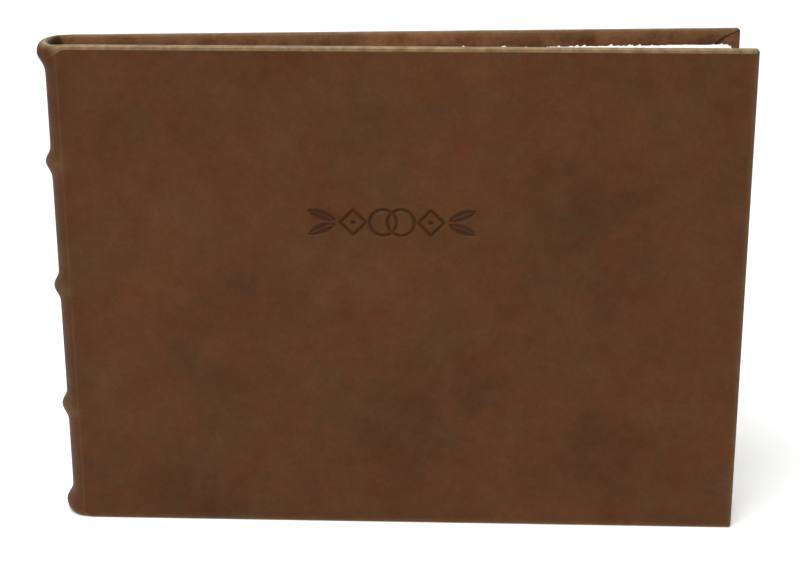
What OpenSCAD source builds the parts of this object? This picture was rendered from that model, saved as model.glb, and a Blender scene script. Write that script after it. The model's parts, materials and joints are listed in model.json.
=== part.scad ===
// Leather-bound landscape guest book, sewn on tapes, with false raised bands on a hollow back.
// The book stands on its tail edge: X runs along the covers, Y through the thickness, Z is up.

/* [Covers] */
// Width of a cover, from the hinge line to the fore edge
cover_w = 305; // [200:1:400]
// Height of a cover, from tail to head
cover_h = 228.6; // [150:0.1:320]
// Thickness of a cover board
board_t = 2.7; // [1.5:0.1:4]
// Thickness of the covering leather
leather_t = 0.9; // [0.6:0.1:1.4]
// Thickness of the leather where it is pared and turned in
turn_in_t = 0.4; // [0.3:0.05:0.7]
// Width of the turned-in leather inside a cover
turn_in_w = 15; // [11:0.5:22]
// Radius of the leather's outer edges and corners
edge_r = 1.1; // [0.5:0.1:1.8]
// Angle at which the front cover stands open
front_ajar = 4.4; // [1:0.1:15]

/* [Pages] */
// Number of sewn sections, half of them in each half of the book
sections = 8; // [4:2:12]
// Number of folded sheets in a section
sheets = 4; // [2:1:6]
// Thickness of a leaf
leaf_t = 0.18; // [0.12:0.01:0.3]
// Thickness of a flyleaf and of a pastedown
endpaper_t = 0.2; // [0.15:0.01:0.35]
// Distance from the cover's head and tail to the leaves
square_h = 6.3; // [3:0.1:10]
// Distance from the cover's fore edge to the leaves
square_w = 5; // [3:0.1:10]
// Distance from the cover's edges to the pastedown
pastedown_margin = 8; // [5:0.5:12]

/* [Spine] */
// How far the spine's panels stand out beyond the hinge line
spine_bulge = 7.9; // [6.5:0.1:12]
// Number of raised bands
bands = 3; // [1:1:5]
// Distance from head or tail to the nearest band's middle
end_panel = 55; // [35:0.5:75]
// How far a raised band stands out
band_h = 2.6; // [1.5:0.1:4]
// Half width of a raised band's swell
band_swell = 3.9; // [3:0.1:5]
// How far the head cap stands out
head_cap_h = 3.3; // [1:0.1:4]
// How far the tail cap stands out
tail_cap_h = 3.4; // [1:0.1:4]
// Height of the rounding over a cap
cap_round = 5; // [3.5:0.1:7]
// Radius of the rounded back of the sewn sections
back_r = 20; // [16:0.5:40]
// Thickness of the card inlay inside the spine
inlay_t = 1.2; // [0.6:0.1:1.4]

/* [Blind tooling] */
// Distance from the hinge line to the middle of the tooled ornament
tooling_x = 146; // [110:1:160]
// Height of the middle of the tooled ornament
tooling_z = 149; // [100:1:160]
// Depth of the tooled lines
tooling_d = 0.35; // [0.1:0.05:0.5]
// Width of a tooled line
tooling_line = 1.1; // [0.6:0.1:1.6]

/* [Hidden] */
// Clearances
fit = 0.03;         // between glued pieces
leaf_gap = 0.04;    // between the leaves of a section
section_gap = 0.23; // between sections
page_gap = 0.25;    // on both sides of a flyleaf
back_gap = 0.12;    // between the folds and the tapes

// Thickness of the book, built up from its layers
section_t = 2 * sheets * leaf_t + (2 * sheets - 1) * leaf_gap;
pitch = section_t + section_gap;
block_t = sections * pitch;
cover_t = leather_t + board_t + turn_in_t;
book_t = block_t + 2 * (cover_t + 2 * endpaper_t + 2 * page_gap);

// Levels of the front cover's layers, from outside to inside
face_y = -book_t / 2;
board_y = face_y + leather_t;
lining_y = board_y + board_t;
pastedown_y = lining_y + turn_in_t;
flyleaf_y = pastedown_y + endpaper_t + page_gap;
hinge_y = face_y + leather_t / 2;

// Hinge side of a cover
board_x = 2;        // spine edge of the board
board_bevel = 1.5;  // bevel inside the board's spine edge
leather_x = 3;      // spine edge of the cover's stiff leather
lining_x = board_x + board_bevel + 1;
flap_w = 26;        // mull flap on the board
flap_t = 0.12;
flap_y = lining_y + fit;
flap_margin = 20;   // from the flap's ends to head and tail

// Leaves
leaf_x = cover_w - square_w;
leaf_z = square_h;
leaf_h = cover_h - 2 * square_h;
back_x = 2.4;       // the middle folds' distance behind the hinge line
back_cx = back_r - back_x;
flyleaf_setback = 0.45;

// How far each piece of a half turns for each degree of its cover, from the cover inwards
flyleaf_share = 0.5;
half = sections / 2;
function section_share(k) = 0.46 * pow(0.43, k - 1);

// Spine
stiff_angle = 58;   // half angle of the spine's stiff leather, the rest is joint
spine_steps = 14;
cap_flare = 4.5;
cap_turn = 3.2;     // depth of the leather turned in at head and tail
cap_turn_h = 14;
inlay_angle = 55;
tape_w = 11;
tape_t = 0.3;
thread_r = 0.15;
mull_t = 0.15;
tube_t = 0.25;
tube_angle = 45;
head_band_r = 1;

// Where a section's fold touches the rounded back
function section_y(k) = (k - (sections + 1) / 2) * pitch;
function fold_x(y) = back_cx - sqrt(pow(back_r, 2) - pow(y, 2));

// Radii of the layers on the rounded back, from the folds outwards
fold_r = max([for (k = [1:sections]) let (y = section_y(k))
    norm([back_cx - fold_x(y) - section_t / 2, y]) + section_t / 2]);
tape_r = fold_r + back_gap;
stitch_r = tape_r + tape_t + thread_r + fit;
mull_r = stitch_r + thread_r + 3 * fit;
tube_r = mull_r + mull_t + fit;
back_half_y = block_t / 2 - section_gap / 2;

band_z = [for (k = [1:bands])
    bands == 1 ? cover_h / 2 : end_panel + (cover_h - 2 * end_panel) * (k - 1) / (bands - 1)];
kettle_z = [leaf_z + 8, leaf_z + leaf_h - 8];

// Middle of the whole book's box, which is the origin
low_y = hinge_y - cover_w * sin(front_ajar) - leather_t / 2 * cos(front_ajar);
low_x = -spine_bulge - max(band_h, head_cap_h, tail_cap_h);
mid_x = (cover_w + low_x) / 2;
mid_y = (low_y - face_y) / 2;

// Colours
leather = "#5a3a22";
leather_inside = "#7a5236";
card = "#9a8466";
paper = "#f3ecdc";
linen = "#d8ccb0";

SPINE = concat(
    ["spine_leather", "front_joint_leather", "back_joint_leather", "spine_inlay"],
    [for (k = [1:bands]) str("raised_band_", k)],
    ["head_cap_cord", "tail_cap_cord", "hollow_tube", "spine_mull"],
    [for (k = [1:bands]) str("sewing_tape_", k)],
    ["sewing_thread", "head_band", "tail_band"]
);
COVER_PIECES = ["board", "cover_leather", "mull_flap", "board_lining", "pastedown", "flyleaf"];

// --- Places -------------------------------------------------------------------------------

// Moves the book from its hinge line to its origin
module book() {
    translate([-mid_x, -mid_y, 0]) children();
}

// Turns a piece about an upright axis, towards the front
module turned(axis, angle) {
    translate([axis.x, axis.y, 0]) rotate(-angle) translate([-axis.x, -axis.y, 0]) children();
}

// A piece of the front cover, or its mirror image in the back cover
module on_cover(side) {
    if (side == "front") {
        turned([0, hinge_y], front_ajar) children();
    } else {
        mirror([0, 1, 0]) children();
    }
}

// --- Shapes -------------------------------------------------------------------------------

// A box given by its lowest and highest corners
module block(low, high) {
    translate(low) cube(high - low);
}

// A rectangle with round corners, from the origin
module rounded(w, h, r) {
    difference() {
        square([w, h]);
        for (x = [0, 1], y = [0, 1]) {
            difference() {
                translate([x * (w - r), y * (h - r)]) square(r);
                translate([r + x * (w - 2 * r), r + y * (h - 2 * r)]) circle(r, $fn = 48);
            }
        }
    }
}

// Swells of the raised bands and of the two caps, as a height above the spine's panels
function swell(z, middle, height, width) = height * exp(-pow((z - middle) / width, 2));
function sum(list, k = 0) = k < len(list) ? list[k] + sum(list, k + 1) : 0;
function spine_swell(z) = sum([for (b = band_z) swell(z, b, band_h, band_swell)])
    + swell(min(z, cover_h - cap_round), cover_h - cap_round, head_cap_h, cap_flare)
    + swell(max(z, cap_round), cap_round, tail_cap_h, cap_flare);

// A point of the spine: out is its height above the panel's ellipse, inset is its depth in Y
function spine_point(angle, out, inset, z) = [
    -(spine_bulge + out) * cos(angle),
    (book_t / 2 - inset) * sin(angle),
    z
];

// Heights at which the spine's curve is worked out, closer together at the swells
swell_step = 1.5;
cap_reach = 12;
band_reach = 9;
wall_z = concat(
    [for (d = [0:swell_step:cap_reach]) cap_round + d],
    [for (b = band_z, d = [-band_reach:swell_step:band_reach]) b + d],
    [for (d = [-cap_reach:swell_step:0]) cover_h - cap_round + d]
);

// The leather's section as rows of [out, inset, z] for its outer face, then for its inner face.
// It runs from the flap turned in at the tail, under the tail cap, up the spine and over the head.
function wall_row(z) = [
    [spine_swell(z), 0, z],
    [spine_swell(z) - leather_t, leather_t, z]
];
function cap_row(a, height, z, up) = let (
    out_r = (height + cap_turn) / 2,
    inset_r = cap_turn / 2
) [for (t = [0, leather_t]) [
    height - out_r + (out_r - t) * cos(a),
    inset_r - (inset_r - t) * cos(a),
    z + up * (cap_round - t) * sin(a)
]];
function flap_row(z) = [[-cap_turn, cap_turn, z], [leather_t - cap_turn, cap_turn - leather_t, z]];
cap_angles = [15:15:180];
spine_rows = concat(
    [flap_row(cap_round + cap_turn_h)],
    [for (a = [180:-15:15]) cap_row(a, tail_cap_h, cap_round, -1)],
    [for (z = wall_z) wall_row(z)],
    [for (a = cap_angles) cap_row(a, head_cap_h, cover_h - cap_round, 1)],
    [flap_row(cover_h - cap_round - cap_turn_h)]
);

// A closed skin between two grids of points, the outer one and the inner one.
// Each grid is a list of rows of the same length, and the rim joins their borders.
module shell(outer, inner) {
    rows = len(outer);
    cols = len(outer[0]);
    size = rows * cols;
    function at(layer, r, c) = layer * size + r * cols + c;
    polyhedron(
        points = concat([for (row = outer) each row], [for (row = inner) each row]),
        faces = concat(
            [for (r = [0:rows - 2], c = [0:cols - 2]) each [
                [at(0, r, c), at(0, r, c + 1), at(0, r + 1, c + 1)],
                [at(0, r, c), at(0, r + 1, c + 1), at(0, r + 1, c)],
                [at(1, r, c), at(1, r + 1, c + 1), at(1, r, c + 1)],
                [at(1, r, c), at(1, r + 1, c), at(1, r + 1, c + 1)]
            ]],
            [for (r = [0:rows - 2]) each [
                [at(0, r, 0), at(0, r + 1, 0), at(1, r + 1, 0), at(1, r, 0)],
                [at(0, r + 1, cols - 1), at(0, r, cols - 1), at(1, r, cols - 1), at(1, r + 1, cols - 1)]
            ]],
            [for (c = [0:cols - 2]) each [
                [at(0, 0, c + 1), at(0, 0, c), at(1, 0, c), at(1, 0, c + 1)],
                [at(0, rows - 1, c), at(0, rows - 1, c + 1), at(1, rows - 1, c + 1), at(1, rows - 1, c)]
            ]]
        )
    );
}

// A round bar along the spine's ellipse, in the middle of a cap
module cap_cord(height, z) {
    out_r = (height + cap_turn) / 2;
    inset_r = cap_turn / 2;
    slack = leather_t + 2 * fit;
    sides = 12;
    steps = spine_steps;
    rings = [for (k = [0:steps]) let (angle = -inlay_angle + 2 * inlay_angle * k / steps)
        [for (s = [0:sides - 1]) let (a = 360 * s / sides) spine_point(
            angle,
            height - out_r + (out_r - slack) * cos(a),
            inset_r - (inset_r - slack) * cos(a),
            z + (out_r - slack) * sin(a)
        )]];
    polyhedron(
        points = [for (ring = rings) each ring],
        faces = concat(
            [[for (s = [0:sides - 1]) s]],
            [[for (s = [sides - 1:-1:0]) steps * sides + s]],
            [for (k = [0:steps - 1], s = [0:sides - 1]) each [
                [k * sides + s, (k + 1) * sides + s, k * sides + (s + 1) % sides],
                [(k + 1) * sides + s, (k + 1) * sides + (s + 1) % sides, k * sides + (s + 1) % sides]
            ]]
        )
    );
}

// Points along the spine's ellipse at a depth below its face
function ellipse_arc(depth, angle) = [
    for (k = [0:spine_steps]) let (a = -angle + 2 * angle * k / spine_steps)
        [-(spine_bulge - depth) * cos(a), (book_t / 2 - depth) * sin(a)]
];
function reversed(list) = [for (k = [len(list) - 1:-1:0]) list[k]];

// A layer glued on the rounded back: a part of an upright ring, within the block's thickness
module back_layer(r, t, low_z, high_z) {
    intersection() {
        translate([back_cx, 0, low_z]) difference() {
            cylinder(r = r + t, h = high_z - low_z, $fn = 200);
            translate([0, 0, -1]) cylinder(r = r, h = high_z - low_z + 2, $fn = 200);
        }
        block([-2 * back_x - 5, -back_half_y, low_z], [back_cx / 2, back_half_y, high_z]);
    }
}

// --- Spine --------------------------------------------------------------------------------

module spine_leather() {
    angles = [for (k = [0:spine_steps]) stiff_angle * (2 * k / spine_steps - 1)];
    color(leather) shell(
        [for (a = angles) [for (row = spine_rows) spine_point(a, row[0][0], row[0][1], row[0][2])]],
        [for (a = angles) [for (row = spine_rows) spine_point(a, row[1][0], row[1][1], row[1][2])]]
    );
}

// The flexible leather between the spine and a cover, which folds as the cover opens
module joint_leather(side) {
    edge = leather_t;
    rows = concat(
        [wall_row(edge)],
        [for (z = wall_z) wall_row(z)],
        [wall_row(cover_h - edge)]
    );
    ajar = side == "front" ? front_ajar : 0;
    bend_steps = 5;
    start = stiff_angle + 1;
    // Round the spine's ellipse first, then along the cover
    function column(layer) = concat(
        [for (k = [0:bend_steps]) let (a = -start - (90 - start) * k / bend_steps)
            [for (row = rows) spine_point(a, row[layer][0], row[layer][1], row[layer][2])]],
        [let (x = leather_x - 3 * fit) [for (row = rows) let (y = face_y + row[layer][1] - hinge_y)
            [x * cos(ajar) + y * sin(ajar), hinge_y - x * sin(ajar) + y * cos(ajar), row[layer][2]]]]
    );
    color(leather) mirror([0, side == "front" ? 0 : 1, 0]) shell(reversed(column(0)), reversed(column(1)));
}

// Card that stiffens the spine between the two caps
module spine_inlay() {
    depth = leather_t + fit;
    gap = (max(head_cap_h, tail_cap_h) + cap_turn) / 2 - leather_t + fit;
    color(card) translate([0, 0, cap_round + gap]) linear_extrude(cover_h - 2 * cap_round - 2 * gap)
        polygon(concat(
            ellipse_arc(depth, inlay_angle),
            reversed(ellipse_arc(depth + inlay_t, inlay_angle))
        ));
}

// A false raised band, glued on the inlay under the leather
module raised_band(k) {
    steps = 8;
    reach = 1.5 * band_swell;
    heights = [for (s = [0:steps]) band_z[k - 1] - reach + 2 * reach * s / steps];
    angles = [for (s = [0:spine_steps]) inlay_angle * (2 * s / spine_steps - 1)];
    under = leather_t + fit;
    color(card) shell(
        [for (a = angles) [for (z = heights) spine_point(a, spine_swell(z) - under - fit, under, z)]],
        [for (a = angles) [for (z = heights) spine_point(a, fit - under, under, z)]]
    );
}

module head_cap_cord() {
    color(linen) cap_cord(head_cap_h, cover_h - cap_round);
}

module tail_cap_cord() {
    color(linen) cap_cord(tail_cap_h, cap_round);
}

// Flattened paper tube, glued to the back on one side and to the inlay on the other
module hollow_tube() {
    outer_depth = leather_t + inlay_t + 2 * fit;
    low_z = cap_round + cap_turn_h + 1;
    void_angle = tube_angle - 2;
    color(card) translate([0, 0, low_z]) linear_extrude(cover_h - 2 * low_z) difference() {
        tube_outline(outer_depth, tube_r, tube_angle);
        tube_outline(outer_depth + tube_t, tube_r + tube_t, void_angle);
    }
}

// Outline between the spine's ellipse and the rounded back
module tube_outline(depth, r, angle) {
    arc = ellipse_arc(depth, angle);
    half_y = min(arc[spine_steps].y, back_half_y);
    back = [for (k = [0:spine_steps]) let (y = half_y * (1 - 2 * k / spine_steps))
        [back_cx - sqrt(pow(r, 2) - pow(y, 2)), y]];
    polygon(concat(arc, back));
}

// Open-weave cloth over the sewing
module spine_mull() {
    color(linen) back_layer(mull_r, mull_t, flap_margin, cover_h - flap_margin);
}

// Linen tape behind a raised band, which the sections are sewn on
module sewing_tape(k) {
    color(linen) back_layer(tape_r, tape_t, band_z[k - 1] - tape_w / 2, band_z[k - 1] + tape_w / 2);
}

// Linen thread: a stitch over each tape on each fold, and the kettle stitches between folds
module sewing_thread() {
    stitch = tape_w + 2;
    color(linen) {
        for (k = [1:sections], z = band_z) {
            fold_angle = asin(section_y(k) / back_r);
            translate([back_cx, 0, 0]) rotate(-fold_angle) translate([-stitch_r, 0, z - stitch / 2])
                cylinder(r = thread_r, h = stitch, $fn = 16);
        }
        for (z = kettle_z) {
            reach = asin(section_y(sections) / back_r);
            translate([back_cx, 0, z]) rotate(180 - reach) rotate_extrude(angle = 2 * reach, $fn = 200)
                translate([tape_r + thread_r, 0]) circle(thread_r, $fn = 16);
        }
    }
}

// Worked band at the head or tail of the folds
module end_band(z) {
    reach = asin(section_y(sections) / back_r);
    color(linen) translate([back_cx, 0, z]) rotate(180 - reach) rotate_extrude(angle = 2 * reach, $fn = 200)
        translate([back_r - head_band_r, 0]) circle(head_band_r, $fn = 24);
}

module head_band() {
    end_band(leaf_z + leaf_h + head_band_r + 2 * fit);
}

module tail_band() {
    end_band(leaf_z - head_band_r - 2 * fit);
}

// --- Covers: each piece is drawn for the front cover, shut -----------------------------------

module board(side) {
    far_x = cover_w - leather_t - fit;
    low_y = board_y + fit;
    color(card) on_cover(side) translate([0, 0, leather_t + fit])
        linear_extrude(cover_h - 2 * leather_t - 2 * fit) polygon([
            [board_x, low_y],
            [far_x, low_y],
            [far_x, lining_y],
            [board_x + board_bevel, lining_y],
            [board_x, lining_y - board_bevel]
        ]);
}

// Leather round the board, with its edges turned in and mitred
module cover_leather(side) {
    color(leather) on_cover(side) difference() {
        intersection() {
            // Rounded in plan, and in elevation
            linear_extrude(cover_h) difference() {
                translate([-cover_w, face_y]) rounded(2 * cover_w, cover_t, edge_r);
                translate([-cover_w, face_y - 1]) square([cover_w + leather_x, cover_t + 2]);
            }
            translate([0, face_y, 0]) rotate([90, 0, 90]) linear_extrude(cover_w)
                rounded(cover_t, cover_h, edge_r);
            translate([-cover_w, face_y + cover_t, 0]) rotate([90, 0, 0]) linear_extrude(cover_t)
                rounded(2 * cover_w, cover_h, 2 * edge_r);
        }
        block([0, board_y, leather_t], [cover_w - leather_t, lining_y + fit, cover_h - leather_t]);
        block([0, board_y, turn_in_w], [cover_w - turn_in_w, pastedown_y + 1, cover_h - turn_in_w]);
        mitres();
        if (side == "front") {
            tooling();
        }
    }
}

// The seams where two turn-ins meet at a corner
module mitres() {
    seam = 0.25;
    length = sqrt(2) * (turn_in_w - 2 * edge_r);
    for (up = [0, 1]) {
        translate([cover_w - turn_in_w, lining_y - fit, up ? cover_h - turn_in_w : turn_in_w])
            rotate([0, up ? -45 : 45, 0]) translate([-1, 0, -seam / 2]) cube([length, turn_in_t + 1, seam]);
    }
}

// Blind-tooled ornament: two linked rings between lozenges and leaf sprays
module tooling() {
    ring_r = 6.6;
    translate([tooling_x, face_y - 1, tooling_z]) rotate([-90, 0, 0]) linear_extrude(tooling_d + 1) {
        for (side = [-1, 1]) {
            translate([side * 4, 0]) outline(ring_r, 96);
            translate([side * 17.5, 0]) outline(ring_r, 4);
            for (tilt = [-1, 1]) {
                translate([side * 31.5, tilt * 3.2]) rotate(side * tilt * 22) leaf(13, 4.6);
            }
        }
    }
}

// A ring, or the ring of a regular polygon
module outline(r, sides) {
    difference() {
        circle(r, $fn = sides);
        circle(r - tooling_line, $fn = sides);
    }
}

// A leaf: the overlap of two circles
module leaf(length, width) {
    r = (pow(length, 2) + pow(width, 2)) / (4 * width);
    intersection_for(s = [-1, 1]) {
        translate([0, s * (r - width / 2)]) circle(r, $fn = 96);
    }
}

// The mull's flap, glued to the inside of the board
module mull_flap(side) {
    color(linen) on_cover(side) block(
        [lining_x, flap_y, flap_margin],
        [lining_x + flap_w, flap_y + flap_t, cover_h - flap_margin]
    );
}

// Paper that fills the board up between the turn-ins, over the mull's flap
module board_lining(side) {
    edge = turn_in_w + fit;
    color(paper) on_cover(side) difference() {
        block([lining_x, flap_y, edge], [cover_w - edge, pastedown_y - fit, cover_h - edge]);
        block(
            [lining_x - 1, lining_y, flap_margin - fit],
            [lining_x + flap_w + fit, flap_y + flap_t + fit, cover_h - flap_margin + fit]
        );
    }
}

module pastedown(side) {
    margin = pastedown_margin;
    color(paper) on_cover(side) block(
        [lining_x + 1, pastedown_y, margin],
        [cover_w - margin, pastedown_y + endpaper_t, cover_h - margin]
    );
}

// --- Pages --------------------------------------------------------------------------------

// A single leaf that turns on its front corner at the fold
module flyleaf(side) {
    x = fold_x(section_y(1)) - flyleaf_setback;
    mirror([0, side == "front" ? 0 : 1, 0])
        turned([x, flyleaf_y], side == "front" ? flyleaf_share * front_ajar : 0)
        color(paper) block([x, flyleaf_y, leaf_z], [leaf_x, flyleaf_y + endpaper_t, leaf_z + leaf_h]);
}

// A section of nested folded sheets. Those of the front half fan out behind the front cover.
module section(k) {
    front = k <= half;
    y = section_y(k);
    x = fold_x(y);
    share = section_share(front ? k : sections + 1 - k);
    turned([x, y - section_t / 2], front ? share * front_ajar : 0)
        translate([x + section_t / 2, y, leaf_z]) color(paper) linear_extrude(leaf_h)
        for (s = [0:sheets - 1]) {
            folded_sheet(section_t / 2 - s * (leaf_t + leaf_gap), leaf_x - x - section_t / 2);
        }
}

// A folded sheet in plan: two leaves of one length joined by a half ring
module folded_sheet(r, length) {
    difference() {
        union() {
            circle(r, $fn = 32);
            translate([0, -r]) square([length, 2 * r]);
        }
        circle(r - leaf_t, $fn = 32);
        translate([0, leaf_t - r]) square([length + 1, 2 * (r - leaf_t)]);
    }
}

// --- Assembly -----------------------------------------------------------------------------

module piece(name, side) {
    if (name == "board") board(side);
    if (name == "cover_leather") cover_leather(side);
    if (name == "mull_flap") mull_flap(side);
    if (name == "board_lining") board_lining(side);
    if (name == "pastedown") pastedown(side);
    if (name == "flyleaf") flyleaf(side);
}

book() spine_leather();
book() joint_leather("front");  // front_joint_leather
book() joint_leather("back");  // back_joint_leather
book() spine_inlay();
book() head_cap_cord();
book() tail_cap_cord();
book() hollow_tube();
book() spine_mull();
book() sewing_thread();
book() head_band();
book() tail_band();
for (k = [1:bands]) {
    book() raised_band(k);
    book() sewing_tape(k);
}
for (side = ["front", "back"], name = COVER_PIECES) {
    book() piece(name, side);
}
for (k = [1:sections]) {
    book() section(k);
}
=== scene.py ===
"""Leather guest book: the looks of a packed book, built as numpy surfaces around its CAD frame."""

import json
import math
from types import SimpleNamespace

import bmesh
import bpy
import numpy as np
from mathutils import Matrix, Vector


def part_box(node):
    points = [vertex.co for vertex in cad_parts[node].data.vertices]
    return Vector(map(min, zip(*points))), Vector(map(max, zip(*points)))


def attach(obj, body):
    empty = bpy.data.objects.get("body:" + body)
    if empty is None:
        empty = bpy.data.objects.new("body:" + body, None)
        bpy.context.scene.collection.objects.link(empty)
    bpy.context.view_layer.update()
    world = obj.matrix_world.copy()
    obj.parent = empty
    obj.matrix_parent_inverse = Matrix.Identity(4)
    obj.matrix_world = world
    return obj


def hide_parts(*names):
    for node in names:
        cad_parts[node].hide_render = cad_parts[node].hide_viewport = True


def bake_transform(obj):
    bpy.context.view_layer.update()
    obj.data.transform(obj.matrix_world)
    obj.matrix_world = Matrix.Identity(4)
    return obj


bl_info = {
    "name": "Leather Guest Book",
    "version": (1, 0, 0),
    "blender": (4, 5, 0),
    "location": "View3D > Sidebar > Guest Book",
    "description": "Builds the leather, leaves and end bands of a guest book around its frame",
    "category": "Add Mesh",
}

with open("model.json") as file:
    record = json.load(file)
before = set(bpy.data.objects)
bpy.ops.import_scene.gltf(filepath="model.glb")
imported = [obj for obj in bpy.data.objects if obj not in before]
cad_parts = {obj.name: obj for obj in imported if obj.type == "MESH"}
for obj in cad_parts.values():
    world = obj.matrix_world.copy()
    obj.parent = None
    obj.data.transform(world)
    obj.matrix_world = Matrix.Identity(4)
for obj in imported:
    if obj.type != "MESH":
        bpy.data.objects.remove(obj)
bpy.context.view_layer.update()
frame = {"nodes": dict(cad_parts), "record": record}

MM = 0.001  # millimetres to metres: sizes below are in millimetres


def cad_box(node):
    """Lowest and highest corner of a CAD node, in millimetres."""
    return np.array(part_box(node), float) / MM


JOINTS = {joint["name"]: joint for joint in frame["record"]["behaviour"]["joints"]}


def pivot(joint):
    """Where a joint's upright axis stands in plan, in millimetres."""
    return np.array(JOINTS[joint]["pos_m"][:2], float) / MM


# Measures of the frame: the covers' hinge lines, faces and edges, and the spine
FRONT_HINGE = pivot("front_cover_open")
BACK_HINGE = pivot("back_cover_open")
HINGE_X = FRONT_HINGE[0]
MID_Y = (FRONT_HINGE[1] + BACK_HINGE[1]) / 2
COVER_LOW, COVER_HIGH = cad_box("back_cover_leather")
COVER_W = COVER_HIGH[0] - HINGE_X
COVER_H = COVER_HIGH[2]
COVER_T = COVER_HIGH[1] - COVER_LOW[1]
STIFF_X = COVER_LOW[0] - HINGE_X
HALF_T = COVER_HIGH[1] - MID_Y
AJAR = math.radians(-JOINTS["front_cover_open"]["range_deg"][0])
SECTIONS = sum(name.startswith("section_") for name in frame["nodes"])
BAND_Z = sorted(cad_box(n)[:, 2].mean() for n in frame["nodes"] if n.startswith("raised_band"))
SPINE_OUT = HINGE_X - cad_box("spine_leather")[0][0]
STIFF_ANGLE = 58.0  # half angle of the spine's stiff leather, as in the frame


def linear(code):
    """Turns an sRGB hex colour into linear RGB."""
    values = [int(code[i:i + 2], 16) / 255 for i in (1, 3, 5)]
    return tuple(v / 12.92 if v <= 0.04045 else ((v + 0.055) / 1.055) ** 2.4 for v in values)


def colour(name, code, text):
    """A colour property whose default is an sRGB hex value."""
    return bpy.props.FloatVectorProperty(
        name=name, description=text, subtype="COLOR", size=3, min=0, max=1, default=linear(code)
    )


def size(name, value, text):
    """A length property whose default is in millimetres."""
    return bpy.props.FloatProperty(
        name=name, description=text, subtype="DISTANCE", default=value * MM, min=0, precision=4
    )


def angle(name, value, text):
    """An angle property whose default is in degrees."""
    return bpy.props.FloatProperty(name=name, description=text, subtype="ANGLE", default=math.radians(value))


def strength(name, value, text):
    """A lamp's or surface's light."""
    return bpy.props.FloatProperty(name=name, description=text, default=value, min=0)


def measures(group):
    """A group's values, with its lengths in millimetres."""
    kinds = group.bl_rna.properties
    return SimpleNamespace(**{
        key: getattr(group, key) / MM if kinds[key].unit == "LENGTH" else getattr(group, key)
        for key in group.__annotations__
    })


class GuestBookLeather(bpy.types.PropertyGroup):
    """Sizes and colours of the binding leather."""

    edge_r: size("Edge radius", 1.1, "Radius of the leather over the boards' edges")
    corner_r: size("Corner radius", 1.4, "Radius of the covers' worn corners in plan")
    turn_in: size("Turn-in", 15.0, "Width of the leather turned in inside a cover")
    skin_t: size("Skin", 0.3, "Thickness that the visible skin is given")
    band_h: size("Band height", 2.6, "How far a raised band stands out")
    band_swell: size("Band swell", 3.9, "Half width of a raised band's swell")
    head_cap: size("Head cap", 3.3, "How far the head cap stands out")
    tail_cap: size("Tail cap", 3.4, "How far the tail cap stands out")
    cap_round: size("Cap rounding", 5.0, "Height of the rounding over a cap")
    cap_flare: size("Cap flare", 4.5, "Half width of the flare to a cap")
    cap_turn: size("Cap turn-in", 3.2, "Depth of the leather turned in at head and tail")
    joint_turn: size("Joint turn-in", 6.0, "Depth of the turn-in at the joints, clear of the leaves")
    pinch: size("Corner pinch", 3.2, "How far the mitres first run along the head before they turn")
    base: colour("Calf", "#512604", "Main brown of the calf")
    red: colour("Red calf", "#58290C", "Reddish blotches")
    olive: colour("Olive calf", "#492E07", "Olive blotches")
    bloom: colour("Wax bloom", "#52361E", "Greyer blotches and haze, where the wax has bloomed")
    # Tan of wear on the edges, and also painted highlight on the lit head edges, arrises, cap crests and
    # bands
    worn: colour("Worn calf", "#9A8460", "Where edges are rubbed")
    # Dark of the hot tool and of trimmed edges, and also painted shadow along the mitres and painted shade
    # inside the caps
    burnt: colour("Tooled calf", "#2A1404", "Calf darkened by the hot tool, and its cut edges")
    inside: colour("Turned-in calf", "#7A5236", "Paler leather of the turn-ins")


class GuestBookTooling(bpy.types.PropertyGroup):
    """The blind-tooled ornament of the front cover."""

    x: size("From the hinge", 146.0, "Distance from the hinge line to the ornament's middle")
    z: size("Height", 149.0, "Height of the ornament's middle")
    depth: size("Depth", 0.75, "Depth that the tool presses the leather")
    lip: size("Lip", 0.3, "How far the leather swells beside a tooled line")
    line: size("Line", 1.1, "Width of a tooled line")
    ring_r: size("Ring radius", 6.6, "Outer radius of a ring")


class GuestBookPaper(bpy.types.PropertyGroup):
    """Sizes and colours of the leaves and of the other papers and cloths."""

    leaf_t: size("Leaf", 0.18, "Thickness of a leaf")
    leaf_gap: size("Leaf gap", 0.04, "Gap between the leaves of a section")
    sheets: bpy.props.IntProperty(name="Sheets", description="Sheets in a section", default=4, min=1)
    stiff: size("Stiff root", 2.0, "Distance from its fold at which an opened leaf starts to bend")
    bend: size("Bend", 14.0, "Distance from its fold at which an opened leaf has finished its bend")
    deckle: size("Deckle", 1.0, "Depth of the deckle edge")
    edge_step: size("Edge step", 0.6, "Distance between points along a deckle edge")
    paper: colour("Leaf", "#FBF8F1", "Mould-made paper")
    end_paper: colour("Endpaper", "#F0E8D6", "Paper of pastedowns and flyleaves")
    card: colour("Board", "#8D8474", "Milled binder's board")
    kraft: colour("Kraft", "#A9834F", "Kraft paper of the hollow tube")
    linen: colour("Linen", "#D8CCB0", "Sewing tapes, mull and thread")
    silk: colour("Silk", "#E6DCC4", "Pale silk of the end bands")
    silk_dark: colour("Dark silk", "#6A4526", "Brown silk of the end bands")


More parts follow.
